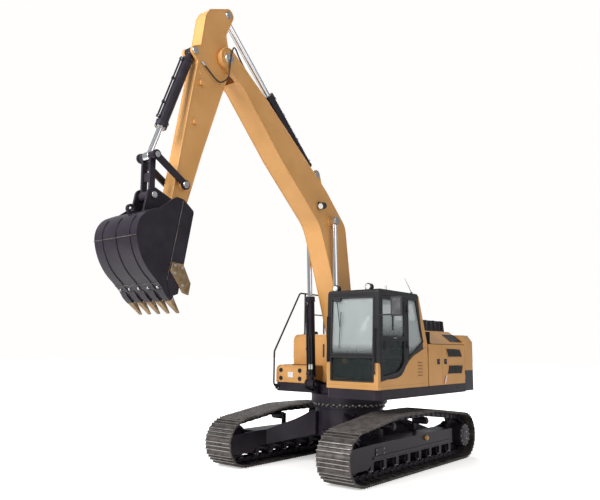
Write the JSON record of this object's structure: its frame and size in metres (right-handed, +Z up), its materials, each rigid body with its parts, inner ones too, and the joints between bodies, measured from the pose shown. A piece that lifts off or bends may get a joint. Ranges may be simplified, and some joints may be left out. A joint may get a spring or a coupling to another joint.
{
  "type": "crawler excavator",
  "caption": "Tracked digging machine with a slewing cab and engine deck, a two-piece hydraulic boom and arm, and a toothed bucket.",
  "frame": {"origin": "on the ground under the swing axis", "axes": "+X forward towards the boom, +Y to the left, +Z up"},
  "size_m": [8.0676, 3.29, 7.275],
  "materials": {
    "ochre_paint": "satin",
    "dark_paint": "satin",
    "track_steel": "worn",
    "bare_steel": "satin",
    "engine_metal": "matt",
    "chrome": "polished",
    "tooth_steel": "worn",
    "glass": "polished",
    "black_plastic": "matt",
    "lamp_lens": "gloss"
  },
  "bodies": {
    "undercarriage": {"track_left": "track_steel", "track_right": "track_steel", "track_frames": "dark_paint", "track_rollers": "dark_paint", "sprockets": "dark_paint", "idlers": "dark_paint", "car_body": "dark_paint", "bearing_inner_ring": "bare_steel"},
    "upper": {"main_frame": "dark_paint", "frame_pins": "bare_steel", "bearing_outer_ring": "dark_paint", "counterweight": "ochre_paint", "engine": "engine_metal", "bay_frame": "dark_paint", "fuel_tank": "ochre_paint", "oil_tank": "ochre_paint", "tool_box": "ochre_paint", "pump_cover": "ochre_paint", "exhaust_stack": "engine_metal", "handrail": "dark_paint", "cab_floor": "dark_paint", "cab_roof": "dark_paint", "cab_front": "dark_paint", "cab_rear": "ochre_paint", "cab_left": "dark_paint", "cab_right": "dark_paint", "cab_glass": "glass", "seat": "black_plastic", "controls": "black_plastic", "cab_lamps": "lamp_lens", "mirror": "black_plastic"},
    "hood": {"hood": "ochre_paint", "hood_grille": "dark_paint"},
    "left_front_door": {"left_front_door": "ochre_paint"},
    "left_rear_door": {"left_rear_door": "ochre_paint"},
    "pump_door": {"pump_door": "ochre_paint"},
    "cab_door": {"cab_door": "dark_paint", "door_glass": "glass"},
    "boom": {"boom": "ochre_paint", "boom_pins": "bare_steel", "boom_pipes": "bare_steel"},
    "boom_barrels": {"boom_barrels": "dark_paint"},
    "boom_rods": {"boom_rods": "chrome"},
    "arm_barrel": {"arm_barrel": "dark_paint"},
    "arm_rod": {"arm_rod": "chrome"},
    "arm": {"arm": "ochre_paint", "arm_pins": "bare_steel"},
    "bucket_barrel": {"bucket_barrel": "dark_paint"},
    "bucket_rod": {"bucket_rod": "chrome"},
    "guide_links": {"guide_links": "dark_paint"},
    "bucket_link": {"bucket_link": "dark_paint"},
    "bucket": {"bucket": "dark_paint", "bucket_teeth": "tooth_steel", "side_cutters": "tooth_steel", "bucket_pins": "bare_steel"}
  },
  "joints": [
    {"name": "swing", "type": "hinge", "parent": "undercarriage", "child": "upper", "pos_m": [0, 0, 1.1], "axis": [0, 0, 1], "continuous": true},
    {"name": "boom_pivot", "type": "hinge", "parent": "upper", "child": "boom", "pos_m": [0.145, -0.05, 1.82], "axis": [0, -1, 0], "range_deg": [-96, 18]},
    {"name": "boom_barrel_pivot", "type": "hinge", "parent": "upper", "child": "boom_barrels", "pos_m": [0.705, -0.05, 1.38], "axis": [0, -1, 0], "range_deg": [-103, 20]},
    {"name": "boom_rod_slide", "type": "slide", "parent": "boom_barrels", "child": "boom_rods", "axis": [0.0412, 0, 0.9992], "range_m": [-1.05, 0.2]},
    {"name": "arm_pivot", "type": "hinge", "parent": "boom", "child": "arm", "pos_m": [3.475, -0.05, 6.41], "axis": [0, -1, 0], "range_deg": [-19, 85]},
    {"name": "arm_barrel_pivot", "type": "hinge", "parent": "boom", "child": "arm_barrel", "pos_m": [1.115, -0.05, 5.12], "axis": [0, -1, 0], "range_deg": [-10, 10]},
    {"name": "arm_rod_slide", "type": "slide", "parent": "arm_barrel", "child": "arm_rod", "axis": [0.7463, 0, 0.6656], "range_m": [-1.02, 0.23]},
    {"name": "bucket_pivot", "type": "hinge", "parent": "arm", "child": "bucket", "pos_m": [4.305, -0.05, 3.84], "axis": [0, -1, 0], "range_deg": [-120, 50]},
    {"name": "guide_link_pivot", "type": "hinge", "parent": "arm", "child": "guide_links", "pos_m": [4.215, -0.05, 4.25], "axis": [0, -1, 0], "range_deg": [-84, 36]},
    {"name": "bucket_link_pivot", "type": "hinge", "parent": "bucket", "child": "bucket_link", "pos_m": [4.725, -0.05, 4.01], "axis": [0, -1, 0], "range_deg": [-40, 93]},
    {"name": "bucket_barrel_pivot", "type": "hinge", "parent": "arm", "child": "bucket_barrel", "pos_m": [4.08, -0.05, 6.33], "axis": [0, -1, 0], "range_deg": [-12, 12]},
    {"name": "bucket_rod_slide", "type": "slide", "parent": "bucket_barrel", "child": "bucket_rod", "axis": [0.3471, 0, -0.9378], "range_m": [-0.32, 0.75]},
    {"name": "cab_door_hinge", "type": "hinge", "parent": "upper", "child": "cab_door", "pos_m": [0.262, 1.388, 2.2], "axis": [0, 0, -1], "range_deg": [-150, 0]},
    {"name": "hood_hinge", "type": "hinge", "parent": "upper", "child": "hood", "pos_m": [-0.66, 0, 2.375], "axis": [0, 1, 0], "range_deg": [0, 60]},
    {"name": "left_front_door_hinge", "type": "hinge", "parent": "upper", "child": "left_front_door", "pos_m": [-0.525, 1.37, 1.745], "axis": [0, 0, -1], "range_deg": [0, 100]},
    {"name": "left_rear_door_hinge", "type": "hinge", "parent": "upper", "child": "left_rear_door", "pos_m": [-2.05, 1.37, 1.745], "axis": [0, 0, 1], "range_deg": [0, 100]},
    {"name": "pump_door_hinge", "type": "hinge", "parent": "upper", "child": "pump_door", "pos_m": [-1.226, -1.37, 1.745], "axis": [0, 0, 1], "range_deg": [0, 100]}
  ],
  "couplings": [
    {"joint": "boom_barrel_pivot", "follows": "boom_pivot", "ratio": 1.03},
    {"joint": "boom_rod_slide", "follows": "boom_pivot", "m_per_rad": 0.62},
    {"joint": "arm_barrel_pivot", "follows": "arm_pivot", "ratio": 0.01},
    {"joint": "arm_rod_slide", "follows": "arm_pivot", "m_per_rad": -0.68},
    {"joint": "guide_link_pivot", "follows": "bucket_pivot", "ratio": 0.69},
    {"joint": "bucket_link_pivot", "follows": "bucket_pivot", "ratio": -0.76},
    {"joint": "bucket_barrel_pivot", "follows": "bucket_pivot", "ratio": 0.03},
    {"joint": "bucket_rod_slide", "follows": "bucket_pivot", "m_per_rad": -0.35}
  ]
}
